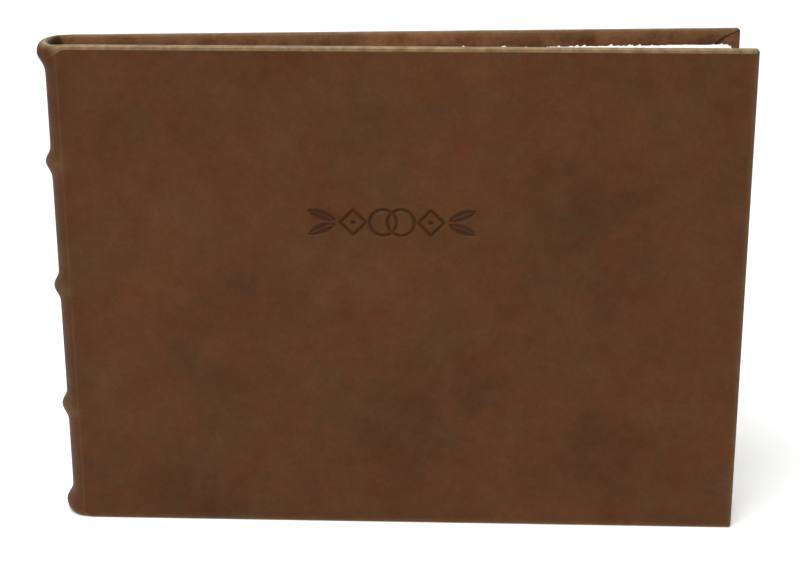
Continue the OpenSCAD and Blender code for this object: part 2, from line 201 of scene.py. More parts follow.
class GuestBookStage(bpy.types.PropertyGroup):
    """Camera, lights and floor."""

    lens: bpy.props.FloatProperty(
        name="Lens", description="Focal length", subtype="DISTANCE_CAMERA", default=82.8
    )
    pitch: angle("Pitch", 19.3, "How far the camera looks down")
    yaw: angle("Yaw", 1.865, "How far the camera looks towards +X")
    roll: angle("Roll", -0.2, "How far the camera leans")
    spot: bpy.props.FloatVectorProperty(
        name="Camera", description="Camera from the hinge line, mid thickness and floor",
        subtype="TRANSLATION", default=(0.1234, -0.8103, 0.3964)
    )
    floor: colour("Floor", "#FAFAF9", "Pale floor")
    glow: strength("Glow", 0.25, "Light that comes through the floor, as on a light table")
    sky: strength("Sky", 0.47, "Strength of the white surroundings")
    top: strength("Top lamp", 14.5, "Power of the lamp over the book, in watts")
    rear: strength("Rear lamp", 9.0, "Power of the low lamp behind the book, in watts")


# --- Shapes ---------------------------------------------------------------------------------


def quads(rows, cols, keep=None):
    """Quads of a grid of points, row by row, of which keep chooses the cells."""
    index = np.arange(rows * cols).reshape(rows, cols)
    cells = np.stack([index[:-1, :-1], index[:-1, 1:], index[1:, 1:], index[1:, :-1]], -1)
    return cells.reshape(-1, 4) if keep is None else cells[keep]


def build(name, points, faces, material, attributes=None, flip=False):
    """Makes a smooth mesh object of points in millimetres and of arrays of faces, one array for each
    number of corners. Points that no face uses are left out."""
    faces = [f[:, ::-1] if flip else f for f in faces if len(f)]
    mesh = bpy.data.meshes.new(name)
    used, corners = np.unique(np.concatenate([f.ravel() for f in faces]), return_inverse=True)
    mesh.vertices.add(len(used))
    mesh.vertices.foreach_set("co", (points[used] * MM).astype(np.float32).ravel())
    counts = np.concatenate([np.full(len(f), f.shape[1]) for f in faces])
    mesh.loops.add(len(corners))
    mesh.loops.foreach_set("vertex_index", corners.astype(np.int32))
    mesh.polygons.add(len(counts))
    mesh.polygons.foreach_set("loop_start", np.concatenate([[0], np.cumsum(counts)[:-1]]).astype(np.int32))
    mesh.update(calc_edges=True)
    mesh.validate()
    mesh.polygons.foreach_set("use_smooth", np.ones(len(mesh.polygons), bool))
    for key, values in (attributes or {}).items():
        layer = mesh.attributes.new(key, "FLOAT", "POINT")
        layer.data.foreach_set("value", values.ravel()[used].astype(np.float32))
    mesh.materials.append(material)
    piece = bpy.data.objects.new(name, mesh)
    bpy.context.collection.objects.link(piece)
    return piece


def join_points(piece, distance):
    """Joins the points of a piece that lie within a distance in millimetres."""
    work = bmesh.new()
    work.from_mesh(piece.data)
    bmesh.ops.remove_doubles(work, verts=work.verts, dist=distance * MM)
    work.to_mesh(piece.data)
    work.free()


def thicken(piece, thickness):
    """Gives a skin its thickness, inwards, with crisp rims."""
    mesh = piece.data
    edges = np.zeros(len(mesh.loops), np.int32)
    mesh.loops.foreach_get("edge_index", edges)
    rim = np.bincount(edges, minlength=len(mesh.edges)) == 1
    mesh.attributes.new("sharp_edge", "BOOLEAN", "EDGE").data.foreach_set("value", rim)
    solidify = piece.modifiers.new("thickness", "SOLIDIFY")
    solidify.thickness = thickness * MM
    solidify.offset = -1


def smooth(t):
    """Rises from 0 to 1 with level ends."""
    t = np.clip(t, 0, 1)
    return t * t * (3 - 2 * t)


def place(side, x, depth, z):
    """Points at a distance x from the hinge line and a depth below a cover's face, in place in the row."""
    y = MID_Y + (HALF_T - depth if side == "back" else depth - HALF_T)
    return np.stack(np.broadcast_arrays(HINGE_X + x, y, z), -1)


def ajar(points, share=1.0):
    """Turns points about the front hinge by a share of the angle at which the front cover stands open."""
    angle = AJAR * np.asarray(share)
    x, y = points[..., 0] - FRONT_HINGE[0], points[..., 1] - FRONT_HINGE[1]
    turned = points.copy()
    turned[..., 0] = FRONT_HINGE[0] + x * np.cos(angle) + y * np.sin(angle)
    turned[..., 1] = FRONT_HINGE[1] - x * np.sin(angle) + y * np.cos(angle)
    return turned


def head_rub_and_highlight(inset):
    """How much wear and painted highlight the face gets at a distance below the head: a tan band that ends
    in a painted highlight line just below the arris.
    """
    band_end, fade = 1.4, 0.5
    line_at, line_width = 1.5, 0.3
    band = 0.5 * (1 - smooth((inset - band_end) / fade))
    return band + 0.3 * np.exp(-(((inset - line_at) / line_width) ** 2))


ARC_ROWS = 16
FLAP_ROWS = 6


def edge_profile(leather, turn_in):
    """Leather round a board's edge, from the face to the end of the turn-in.

    A quarter round, the edge's flat, another quarter round and the turn-in. Returns the inset from
    the cover's edge, the depth below its face, and each row's wear and painted highlight: a painted
    highlight line on the outer arris, tan over the flat, fading into the turn-in.
    """
    r = leather.edge_r
    third = ARC_ROWS // 3
    quarter = np.linspace(0, math.pi / 2, third + 1)[1:]
    flat = np.linspace(r, COVER_T - r, ARC_ROWS - 2 * third + 1)[1:]
    flap = np.linspace(r, turn_in, FLAP_ROWS + 1)[1:]
    inset = np.concatenate([r - r * np.sin(quarter), 0 * flat, r - r * np.cos(quarter), flap])
    depth = np.concatenate([
        r - r * np.cos(quarter), flat, COVER_T - r + r * np.sin(quarter), 0 * flap + COVER_T
    ])
    rub = np.concatenate([
        np.sin(1.6 * quarter), 0 * flat + 0.5, 0.5 - 0.3 * np.sin(quarter), 0.2 * np.exp((r - flap) / 1.5)
    ])
    return inset, depth, rub


def tooling_gap(x, z, tooling):
    """Distance from each point to the ornament's tooled strokes, which is negative inside them.

    Two linked rings lie between two lozenges, each with a dot, and two sprays of two leaves. A stroke's
    distance is that to its middle line less half its width, and the ornament's is the least of all.
    """
    x, z = x - tooling.x, z - tooling.z
    half = tooling.line / 2
    ring_x, lozenge_x, dot_r = 4, 17.5, 0.9
    spray_x, spray_z, spray_angle = 31.5, 3.2, 22
    strokes = []
    for side in (-1, 1):
        strokes.append(np.abs(np.hypot(x - side * ring_x, z) - tooling.ring_r + half) - half)
        lozenge = (np.abs(x - side * lozenge_x) + np.abs(z) - tooling.ring_r) / math.sqrt(2)
        strokes.append(np.abs(lozenge + half) - half)
        strokes.append(np.hypot(x - side * lozenge_x, z) - dot_r)
        for tilt in (-1, 1):
            strokes.append(leaf_gap(x - side * spray_x, z - tilt * spray_z, side * tilt * spray_angle))
    return np.minimum.reduce(strokes)


def leaf_gap(x, z, angle):
    """Distance to a tooled leaf, the overlap of two circles, whose rib stands proud."""
    length, width = 13.0, 4.6
    rib_half, rib_share = 0.3, 0.42
    nowhere = -9
    turn = math.radians(angle)
    along = x * math.cos(turn) + z * math.sin(turn)
    across = z * math.cos(turn) - x * math.sin(turn)
    r = (length**2 + width**2) / (4 * width)
    lower = np.hypot(along, across - r + width / 2)
    upper = np.hypot(along, across + r - width / 2)
    outside = np.maximum(lower, upper) - r
    rib = np.where(np.abs(along) < length * rib_share, rib_half - np.abs(across), nowhere)
    return np.maximum(outside, rib)


def tooled(gap, tooling):
    """Depth that the tool sinks at a distance from the strokes: a groove with soft walls, and a lip beside
    it.
    """
    wall = 0.8
    lip_at, lip_width, lip_start = 0.9, 0.55, 0.5
    groove = 1 - smooth((gap + wall / 2) / wall)
    lip = np.exp(-(((gap - lip_at) / lip_width) ** 2)) * smooth(gap / lip_start)
    return groove, groove * tooling.depth - lip * tooling.lip


def cover_skin(side, leather, tooling, material):
    """The leather of a cover: its face, its three edges and its mitred turn-ins, on one grid.

    Rows run from the tail's turn-in over the face to the head's, and columns from the joint over the
    face to the fore edge's turn-in. A strip beyond an edge follows the edge profile, and its end is
    drawn along the mitre, where the fore edge's turn-in tucks under the others. In the corners'
    squares the grid has no faces.
    """
    inset, depth, rub = edge_profile(leather, leather.turn_in)
    strip = len(inset)
    r = leather.edge_r
    half_w, half_h, step = 41.0, 8.6, 0.38  # the ornament's finer grid
    columns, rows = [np.linspace(STIFF_X, COVER_W - r, 60)], [np.linspace(r, COVER_H - r, 45)]
    margin = np.concatenate([np.arange(0.25, 2.5, 0.25), [3.2, 6]])
    columns.append(COVER_W - r - margin)
    rows.append(margin + r)
    rows.append(COVER_H - r - margin)
    if side == "front":
        inner_columns = np.arange(tooling.x - half_w, tooling.x + half_w, step)
        inner_rows = np.arange(tooling.z - half_h, tooling.z + half_h, step)
        columns = [c[(c < inner_columns[0] - 1) | (c > inner_columns[-1] + 1)] for c in columns]
        columns.append(inner_columns)
        rows = [c[(c < inner_rows[0] - 1) | (c > inner_rows[-1] + 1)] for c in rows]
        rows.append(inner_rows)
    columns, rows = np.unique(np.concatenate(columns)), np.unique(np.concatenate(rows))

    # The grid's place on the face, and how far each row and column has gone over an edge
    x = np.concatenate([columns, COVER_W - inset])[None, :]
    z = np.concatenate([inset[::-1], rows, COVER_H - inset])[:, None]
    over_x = np.concatenate([0 * columns, depth])[None, :]
    over_z = np.concatenate([depth[::-1], 0 * rows, depth])[:, None]
    in_x = np.concatenate([0 * columns + r, inset])[None, :]
    in_z = np.concatenate([inset[::-1], 0 * rows + r, inset])[:, None]
    strip_x = (np.arange(x.size) >= len(columns))[None, :]
    strip_z = ((np.arange(z.size) < strip) | (np.arange(z.size) >= strip + len(rows)))[:, None]

    # Ends of the strips drawn along the mitre, which is pinched where it starts on the inside
    reach = 34.0
    up_edge = np.linspace(0, reach, 400)
    inner = np.maximum(up_edge - r, 0)
    along_head = up_edge + 0.14 * inner + leather.pinch * (1 - np.exp(-inner / 0.8))
    near = np.maximum(x - (COVER_W - reach), 0)
    stretch = (reach - np.interp(in_z, up_edge, along_head)) / (reach - r)
    grid_x = np.where(strip_z & ~strip_x, x + near * (stretch - 1), x) + 0 * z
    stretch = (reach - np.interp(in_x, along_head, up_edge)) / (reach - r)
    near_head = np.maximum(z - (COVER_H - reach), 0)
    near_tail = np.maximum(reach - z, 0)
    grid_z = np.where(strip_x & ~strip_z, z + (near_head - near_tail) * (stretch - 1), z) + 0 * x
    grid_depth = np.maximum(over_x, over_z) + 0 * grid_x

    # The fore edge's turn-in tucks under the others; along the mitre the trimmed edge goes dark, partly
    # its own dark colour and partly painted shadow of the strip above
    tuck_z, tuck_depth, tuck_width = 1.2, 0.42, 1.8
    away = smooth((COVER_W - grid_x - r) / 3)
    to_end = np.interp(np.minimum(grid_z, COVER_H - grid_z), up_edge, along_head) - (COVER_W - grid_x)
    tuck = strip_x * ~strip_z * away * (over_x >= COVER_T) * np.exp(-((to_end / tuck_width) ** 2))
    grid_z = grid_z + tuck_z * tuck * np.sign(grid_z - COVER_H / 2)
    grid_depth = grid_depth - tuck_depth * tuck
    cut_and_shadowed = (strip_x | strip_z) * smooth((grid_depth - COVER_T + 1.2) / 0.8) * np.exp(-((to_end / 1.2) ** 2))

    # Corners rounded in plan: squares about the corners' centres become discs
    c = leather.corner_r
    from_x = np.maximum(grid_x - (COVER_W - c), 0)
    for up in (-1, 1):
        centre = COVER_H - c if up > 0 else c
        from_z = np.maximum(up * (grid_z - centre), 0)
        both = (from_x > 0) & (from_z > 0)
        ratio = np.where(both, np.maximum(from_x, from_z) / np.maximum(np.hypot(from_x, from_z), 1e-9), 1)
        grid_z = np.where(both, centre + up * from_z * ratio, grid_z)
        grid_x = np.where(both, COVER_W - c + from_x * ratio, grid_x)

    on_face = ~strip_x & ~strip_z
    # Dark marks: painted shadow and dark trimmed edges along the mitres, and on the front face the hot
    # tool's darker lines
    pressed = cut_and_shadowed + 0 * grid_x
    if side == "front":
        groove, relief = tooled(tooling_gap(grid_x, grid_z, tooling), tooling)
        pressed = np.where(on_face, 0.5 * groove, pressed)
        grid_depth = grid_depth + np.where(on_face, relief, 0)
    points = place(side, grid_x, grid_depth, grid_z)
    if side == "front":
        points = ajar(points)

    # Wear and painted highlight: the head edge, lit most from above, goes tan and pale past its arris onto
    # the face, the tail edge half as much and the fore edge least, with a faint painted highlight on the
    # face along the fore and tail edges
    rubbed = np.concatenate([0.5 * rub[::-1], 0 * rows, rub])[:, None]
    rubbed = rubbed + 0.35 * np.concatenate([0 * columns, rub])[None, :]
    to_edge = np.minimum(COVER_W - grid_x, grid_z)
    face_rub_and_highlight = 0.16 * np.exp(-np.maximum(to_edge - r, 0) / 0.8)
    rubbed = np.where(on_face, np.maximum(face_rub_and_highlight, head_rub_and_highlight(COVER_H - grid_z)), rubbed)
    turned = smooth((grid_depth - COVER_T + 0.6) / 0.5)
    keep = ~((strip_x[:, 1:] & strip_z[1:]) | (strip_x[:, 1:] & strip_z[:-1]))
    attributes = {"rubbed": rubbed, "turned": turned, "pressed": pressed}
    piece = build(
        f"{side}_cover_skin", points.reshape(-1, 3), [quads(*grid_x.shape, keep)], material, attributes,
        flip=side == "back",
    )
    join_points(piece, 0.004)
    thicken(piece, leather.skin_t)
    return piece


def spine_rows(leather, flap, turn_in):
    """Rows of the spine's leather from the tail's flap to the head's: how far each stands out, its
    inset and its height, the depth and height it has where it becomes a cover's edge, its wear and
    painted highlight on the cap crests and bands, its painted shade inside the cap, and its wear and
    painted highlight where it becomes a cover's edge.

    The wall swells by a sum of bell curves, one for each band and a half one for each cap. The caps
    are half ellipses over the cords, which end in a flap that runs back into the book. turn_in is how
    deep the flap runs where it becomes a cover's.
    """
    panel = 6.0
    near = np.concatenate([np.arange(-9, 9.1, 0.75) + z for z in BAND_Z])
    ends = np.concatenate([np.arange(0, 2, 0.3), np.arange(2.4, 13, 0.9), [COVER_H - 2 * leather.cap_round]])
    wall = np.concatenate([
        near, leather.cap_round + ends, COVER_H - leather.cap_round - ends[:-1],
        np.arange(leather.cap_round + 14, COVER_H - leather.cap_round - 14, panel),
    ])
    wall = np.unique(np.round(wall, 3))
    low, high = leather.cap_round, COVER_H - leather.cap_round
    out = sum(leather.band_h * np.exp(-(((wall - z) / leather.band_swell) ** 2)) for z in BAND_Z)
    out = out + leather.head_cap * np.exp(-(((high - wall) / leather.cap_flare) ** 2))
    out = out + leather.tail_cap * np.exp(-(((wall - low) / leather.cap_flare) ** 2))

    turn = np.linspace(0, math.pi, ARC_ROWS + 1)[1:]
    back = np.linspace(0, flap, FLAP_ROWS + 1)[1:]
    inset, depth, rub = edge_profile(leather, turn_in)
    caps = []
    for height, up, end in ((leather.tail_cap, -1, low), (leather.head_cap, 1, high)):
        out_r, inset_r = (height + leather.cap_turn) / 2, leather.cap_turn / 2
        caps.append(np.stack([
            np.concatenate([height - out_r + out_r * np.cos(turn), 0 * back - leather.cap_turn]),
            np.concatenate([inset_r - inset_r * np.cos(turn), 0 * back + leather.cap_turn]),
            np.concatenate([end + up * leather.cap_round * np.sin(turn), end - up * back]),
            depth,
            inset if up < 0 else COVER_H - inset,
            # Wear and painted highlight on the cap's crest, less at the tail
            np.concatenate([np.sin(turn) ** 4, 0 * back]) * (1 if up > 0 else 0.6),
            # Painted shade inside the cap and on its flap
            np.concatenate([smooth(0.3 - np.cos(turn)), 0 * back + 1]),
            rub * (1 if up > 0 else 0.5),
        ]))
    scale = (COVER_H - 2 * leather.edge_r) / (high - low)
    middle = np.stack([
        out, 0 * wall, wall, 0 * wall, leather.edge_r + (wall - low) * scale,
        # Wear and painted highlight on the bands' tops, away from the caps
        0.15 * out / leather.band_h * (np.abs(wall - COVER_H / 2) < COVER_H / 2 - 15), 0 * wall,
        head_rub_and_highlight((high - wall) * scale + leather.edge_r),
    ])
    return np.concatenate([caps[0][:, ::-1], middle, caps[1]], axis=1)


def spine_skin(leather, material):
    """The stiff leather of the spine: each row is an elliptical arc from joint to joint."""
    flap = 14.0
    out, inset, z, _, _, rubbed, inside, _ = spine_rows(leather, flap, leather.turn_in)[:, :, None]
    bulge = SPINE_OUT - leather.tail_cap
    angle = np.radians(np.linspace(-STIFF_ANGLE, STIFF_ANGLE, 65))[None, :]
    points = np.stack(np.broadcast_arrays(
        HINGE_X - (bulge + out) * np.cos(angle), MID_Y + (HALF_T - inset) * np.sin(angle), z
    ), -1)
    attributes = {
        "rubbed": rubbed + 0 * angle,
        "turned": 0 * (inset + angle),
        # Painted shade inside the caps and on their flaps, in the dark tooled colour
        "pressed": 0.85 * inside + 0 * angle,
    }
    faces = [quads(*points.shape[:2])]
    piece = build("spine_skin", points.reshape(-1, 3), faces, material, attributes, flip=True)
    thicken(piece, leather.skin_t)
    return piece


def joint_skin(side, leather, material):
    """The leather between the spine and a cover: round the ellipse, then straight along the cover.

    Each row turns from the spine's profile into the cover's edge profile on the way. Its turn-in is
    short, so that an opened leaf passes it.
    """
    rows = spine_rows(leather, leather.joint_turn - leather.cap_round, leather.joint_turn)
    out, inset, z, depth, cover_z, rubbed, inside, cover_rubbed_and_highlit = rows[:, :, None]
    bulge = SPINE_OUT - leather.tail_cap
    bend, straight = 22, 10
    crease_depth, crease_at, crease_width = 0.22, math.radians(78), 0.07
    degrees = np.concatenate([np.linspace(STIFF_ANGLE, 90, bend), np.full(straight, 90.0)])
    angle = np.radians(degrees)[None, :]
    along = np.concatenate([np.zeros(bend), np.linspace(0, STIFF_X, straight + 1)[1:]])[None, :]
    way = np.linspace(0, 1, bend + straight)[None, :]
    share = smooth(way)
    layer = inset + (depth - inset) * share
    crease = crease_depth * np.exp(-(((angle - crease_at) / crease_width) ** 2))
    crease = crease * (along == 0) * (layer < 0.5)
    standing = out * (1 - share) - crease
    x = along - (bulge + standing) * np.cos(angle)
    y = (HALF_T - layer - crease) * np.sin(angle)
    height = z + (cover_z - z) * share
    sign = 1 if side == "back" else -1
    points = np.stack(np.broadcast_arrays(HINGE_X + x, MID_Y + sign * y, height), -1)
    if side == "front":
        points = ajar(points, share)
    attributes = {
        # Wear and painted highlight turn from the spine's to the cover edge's, and the crease is paler
        "rubbed": rubbed + (cover_rubbed_and_highlit - rubbed) * share + 0.3 * crease,
        "turned": smooth((layer - COVER_T + 0.6) / 0.5) * share,
        # Painted shade inside the caps, fading as the joint turns into the cover
        "pressed": 0.85 * inside * (1 - smooth(1.6 * share)),
    }
    faces = [quads(*points.shape[:2])]
    piece = build(
        f"{side}_joint_skin", points.reshape(-1, 3), faces, material, attributes, flip=side == "back"
    )
    thicken(piece, leather.skin_t)
    return piece


def deckle_depth(run, deckle, rng):
    """How far a torn edge lies inside its sheet along a run: soft waves, with odd tufts that stand out."""
    depth = np.zeros(len(run))
    for spacing, share in ((17.0, 0.25), (4.3, 0.3), (1.3, 0.3)):
        knots = np.arange(0, run[-1] + 2 * spacing, spacing)
        depth += share * np.interp(run, knots, rng.random(len(knots)))
    tufts = np.arange(0, run[-1] + 2, 1.1)
    tall = (rng.random(len(tufts)) > 0.965) * (0.4 + 0.6 * rng.random(len(tufts)))
    return deckle * (0.55 + depth - 1.25 * np.interp(run, tufts, tall))


def sheet_points(length, height, fold, paper, rng):
    """Flat sheet with a torn border: a ring along the border, a ring inside it and a spine of points
    down the middle that every border point looks to. A single leaf's edge in the gutter isn't torn.
    Returns a side's points, their half thickness, the border's count, and its quads and triangles."""
    fine = length / 2 + fold * np.linspace(-1.8, 1.8, 15) if fold else np.zeros(0)
    across = np.unique(np.concatenate([np.linspace(0, length, int(length / paper.edge_step)), fine]))
    up = np.linspace(0, height, int(height / paper.edge_step))
    border = np.concatenate([
        np.stack([across, 0 * across], 1)[:-1],
        np.stack([0 * up + length, up], 1)[:-1],
        np.stack([across[::-1], 0 * across + height], 1)[:-1],
        np.stack([0 * up, up[::-1]], 1)[:-1],
    ])
    root = height / 2 if fold else paper.stiff
    middle = np.stack([np.clip(border[:, 0], root, length - height / 2), 0 * border[:, 0] + height / 2], 1)
    inward = (middle - border) / np.linalg.norm(middle - border, axis=1)[:, None]
    steps = np.linalg.norm(np.diff(border, axis=0, append=border[:1]), axis=1)
    torn = deckle_depth(np.cumsum(steps), paper.deckle, rng)[:, None]
    if not fold:
        torn[border[:, 0] == 0] = 0
    _, first, link = np.unique(np.round(middle[:, 0], 5), return_index=True, return_inverse=True)
    count = len(border)
    here = np.arange(count)
    after = (here + 1) % count
    points = np.concatenate([border + inward * torn, border + inward * (torn + 0.9), middle[first]])
    thickness = np.concatenate([np.full(count, 0.3), np.ones(count + len(first))]) * paper.leaf_t / 2
    ring = np.stack([here, after, count + after, count + here], 1)
    spoke = np.stack([count + here, count + after, 2 * count + link[after], 2 * count + link[here]], 1)
    pointed = spoke[:, 2] == spoke[:, 3]
    return points, thickness, count, np.concatenate([ring, spoke[~pointed]]), spoke[pointed][:, :3]


def folded(x, off, fold, length, centre):
    """Where a flat sheet goes when it is folded in half about a half round, in plan.

    off is the distance from the sheet's middle surface, outwards. Returns the distance from the
    fold's tip and the depth from the section's outer face.
    """
    half_round = math.pi * fold
    start = (length - half_round) / 2
    turn = np.clip((x - start) / max(fold, 1e-6), 0, math.pi)
    flat = np.maximum(start - x, 0) + np.maximum(x - start - half_round, 0)
    return centre + flat - (fold + off) * np.sin(turn), centre - (fold + off) * np.cos(turn)


def leaves(name, joint, side, node, folds, paper, seed, material):
    """The leaves of a section, or a single flyleaf, turned about their pivot as they stand at rest."""
    rng = np.random.default_rng(seed)
    low, high = cad_box(node)
    axis = pivot(joint)
    rest = math.radians(-JOINTS[joint]["range_deg"][0])
    reach = (high[0] - axis[0]) / math.cos(rest)
    height = high[2] - low[2]
    parts, quad_faces, tri_faces, start = [], [], [], 0
    centre = paper.sheets * (paper.leaf_t + paper.leaf_gap) - paper.leaf_gap / 2
    for fold in folds:
        flat = 2 * (reach - centre) + math.pi * fold if fold else reach
        points, half_t, rim, four, three = sheet_points(flat, height, fold, paper, rng)
        count = len(points)
        for off in (1, -1):
            if fold:
                u, v = folded(points[:, 0], off * half_t, fold, flat, centre)
            else:
                u, v = points[:, 0], paper.leaf_t / 2 - off * half_t
            if side == "back":
                x, y = axis[0] + u, axis[1] - v
            else:
                x = axis[0] + u * math.cos(rest) + v * math.sin(rest)
                y = axis[1] - u * math.sin(rest) + v * math.cos(rest)
            parts.append(np.stack(np.broadcast_arrays(x, y, low[2] + points[:, 1]), -1))
        here = start + np.arange(rim)
        after = start + (np.arange(rim) + 1) % rim
        quad_faces += [four[:, ::-1] + start, four + start + count]
        quad_faces.append(np.stack([here, after, after + count, here + count], 1))
        tri_faces += [three[:, ::-1] + start, three + start + count]
        start += 2 * count
    faces = [np.concatenate(quad_faces), np.concatenate(tri_faces)]
    turned = bool(folds[0]) == (side == "front")
    return build(name, np.concatenate(parts), faces, material, flip=turned)


def end_band_silk(node, material):
    """An end band of silk worked over a cord: a tube along the rounded back, ridged by its windings."""
    low, high = cad_box(node)
    back_r, back_x = 20.0, 2.4
    reach = math.asin((high[1] - low[1]) / 2 / back_r)
    windings = 40
    way = np.linspace(-1, 1, windings * 6 + 1)[:, None]
    round_angle = np.linspace(0, 2 * math.pi, 17)[None, :]
    ridge = 0.88 + 0.12 * np.abs(np.sin(math.pi * windings * (way + 1) / 2))
    close = np.sqrt(np.clip(1 - way**8, 0.02, 1))
    r = (high[2] - low[2]) / 2 * ridge * close
    radius = back_r - 1 + r * np.cos(round_angle)
    points = np.stack(np.broadcast_arrays(
        HINGE_X + back_r - back_x - radius * np.cos(way * reach),
        MID_Y + radius * np.sin(way * reach),
        (low[2] + high[2]) / 2 + r * np.sin(round_angle),
    ), -1)
    stripe = (np.floor(windings * (way + 1) / 2) % 6 < 3) + 0 * round_angle
    rows, cols = points.shape[:2]
    ends = [np.arange(cols - 1)[::-1][None, :], ((rows - 1) * cols + np.arange(cols - 1))[None, :]]
    piece = build(
        node + "_silk", points.reshape(-1, 3), [quads(rows, cols), *ends], material, {"stripe": stripe}
    )
    join_points(piece, 0.001)
    return piece


# --- Materials ------------------------------------------------------------------------------

NOISE = "ShaderNodeTexNoise"
RANGE = "ShaderNodeMapRange"
MATH = "ShaderNodeMath"
MIX = "ShaderNodeMix"
BUMP = "ShaderNodeBump"
ATTRIBUTE = "ShaderNodeAttribute"
MIX_A, MIX_B, MIX_OUT = 6, 7, 2  # the colour sockets of a mix


def add(tree, kind, links=None, out=0, **settings):
    """Adds a node and returns one of its outputs. links gives an input, by its name or number, its
    value or the output that feeds it."""
    node = tree.nodes.new(kind)
    for key, value in settings.items():
        setattr(node, key, value)
    for key, value in (links or {}).items():
        if isinstance(value, bpy.types.NodeSocket):
            tree.links.new(value, node.inputs[key])
        else:
            node.inputs[key].default_value = value
    return node.outputs[out]


def new_material(name):
    """An empty node material, its principled shader and its Object coordinates."""
    material = bpy.data.materials.new(name)
    material.use_nodes = True
    tree = material.node_tree
    return material, tree, tree.nodes["Principled BSDF"], add(tree, "ShaderNodeTexCoord", out="Object")


def rgba(value, share=1.0):
    """A share of a colour, with full alpha."""
    return (*(share * part for part in value), 1.0)


def stained_calf(look):
    """Vegetable-tanned calf, stained by hand with a sponge and waxed: satin, with a fine closed grain.

    The stain lies in clouds of 20 to 60 mm, reddish, olive or bloomed with wax. Edges go tan and shine
    with wear and painted highlight where they face the light; tooled lines and trimmed edges go dark,
    with painted shadow along the mitres and painted shade inside the caps; and the pared turn-ins stay
    paler.
    """
    material, tree, shader, here = new_material("stained_calf")
    # Each pattern is a noise with features of so many mm, and the values that a range of it becomes
    patterns = {}
    for name, width, detail, rough, seed, low, high, to_low, to_high in (
        ("red", 55, 8, 0.7, 55, 0.45, 0.7, 0, 0.8),
        ("olive", 38, 8, 0.7, 38, 0.45, 0.7, 0, 0.8),
        ("bloom", 24, 8, 0.7, 24, 0.45, 0.7, 0, 0.6),
        ("haze", 20, 9, 0.8, 11, 0.35, 0.7, 0, 0.7),
        ("inside", 9, 6, 0.7, 5, 0.35, 0.7, 0, 1),
        ("dabs", 70, 10, 0.84, 2, 0.3, 0.7, 0.58, 1.34),
        ("pores", 1.3, 4, 0.7, 8, 0.3, 0.7, 0.9, 1.1),
        ("rub", 6, 6, 0.7, 3, 0.2, 0.6, 0, 1),
        ("satin", 9, 4, 0.6, 0, 0.3, 0.7, 0.54, 0.68),
    ):
        links = {"Vector": here, "W": seed, "Scale": 1 / (width * MM), "Detail": detail, "Roughness": rough}
        cloud = add(tree, NOISE, links, noise_dimensions="4D")
        links = {"Value": cloud, "From Min": low, "From Max": high, "To Min": to_low, "To Max": to_high}
        patterns[name] = add(tree, RANGE, links)
    read = {}
    for name in ("rubbed", "turned", "pressed"):
        read[name] = add(tree, ATTRIBUTE, out="Fac", attribute_name=name)
    rub = add(tree, MATH, {0: read["rubbed"], 1: patterns["rub"]}, operation="MULTIPLY")

    # The stain's clouds, then the turn-ins' own colour, the sponge's dabs and pores, the wear with its
    # painted highlight, and the tool's dark with painted shade
    tone = rgba(look.base)
    for name in ("red", "olive", "bloom"):
        links = {0: patterns[name], MIX_A: tone, MIX_B: rgba(getattr(look, name))}
        tone = add(tree, MIX, links, MIX_OUT, data_type="RGBA")
    links = {0: patterns["inside"], MIX_A: rgba(look.inside), MIX_B: tone}
    inside = add(tree, MIX, links, MIX_OUT, data_type="RGBA")
    for amount, over, how in (
        (patterns["haze"], rgba(look.bloom), "MIX"),
        (read["turned"], inside, "MIX"),
        (1.0, patterns["dabs"], "MULTIPLY"),
        (1.0, patterns["pores"], "MULTIPLY"),
        (rub, rgba(look.worn), "MIX"),
        (read["pressed"], rgba(look.burnt), "MIX"),
    ):
        links = {0: amount, MIX_A: tone, MIX_B: over}
        tone = add(tree, MIX, links, MIX_OUT, data_type="RGBA", blend_type=how)
    tree.links.new(tone, shader.inputs["Base Color"])

    # Calf's grain is about 0.3 mm: drawn at 0.9 mm so that it shows, over wrinkles of 2 and 14 mm
    grain = {"Vector": here, "Scale": 1 / (0.9 * MM)}
    crease = {"Vector": here, "Scale": 1 / (2.2 * MM), "Detail": 5, "Roughness": 0.7}
    slack = {"Vector": here, "Scale": 1 / (14 * MM), "Detail": 2}
    links = {}
    for height, strong, depth in (
        (add(tree, "ShaderNodeTexVoronoi", grain, "Distance", feature="SMOOTH_F1"), 0.3, 0.18),
        (add(tree, NOISE, crease, noise_dimensions="4D"), 0.9, 0.2),
        (add(tree, NOISE, slack, noise_dimensions="4D"), 0.3, 0.5),
    ):
        links.update({"Height": height, "Strength": strong, "Distance": depth * MM})
        links["Normal"] = add(tree, BUMP, links)
    tree.links.new(links["Normal"], shader.inputs["Normal"])
    polish = add(tree, MATH, {0: rub, 1: 0.22}, operation="MULTIPLY")
    gloss = add(tree, MATH, {0: patterns["satin"], 1: polish}, operation="SUBTRACT")
    tree.links.new(gloss, shader.inputs["Roughness"])
    shader.inputs["IOR"].default_value = 1.26
    return material


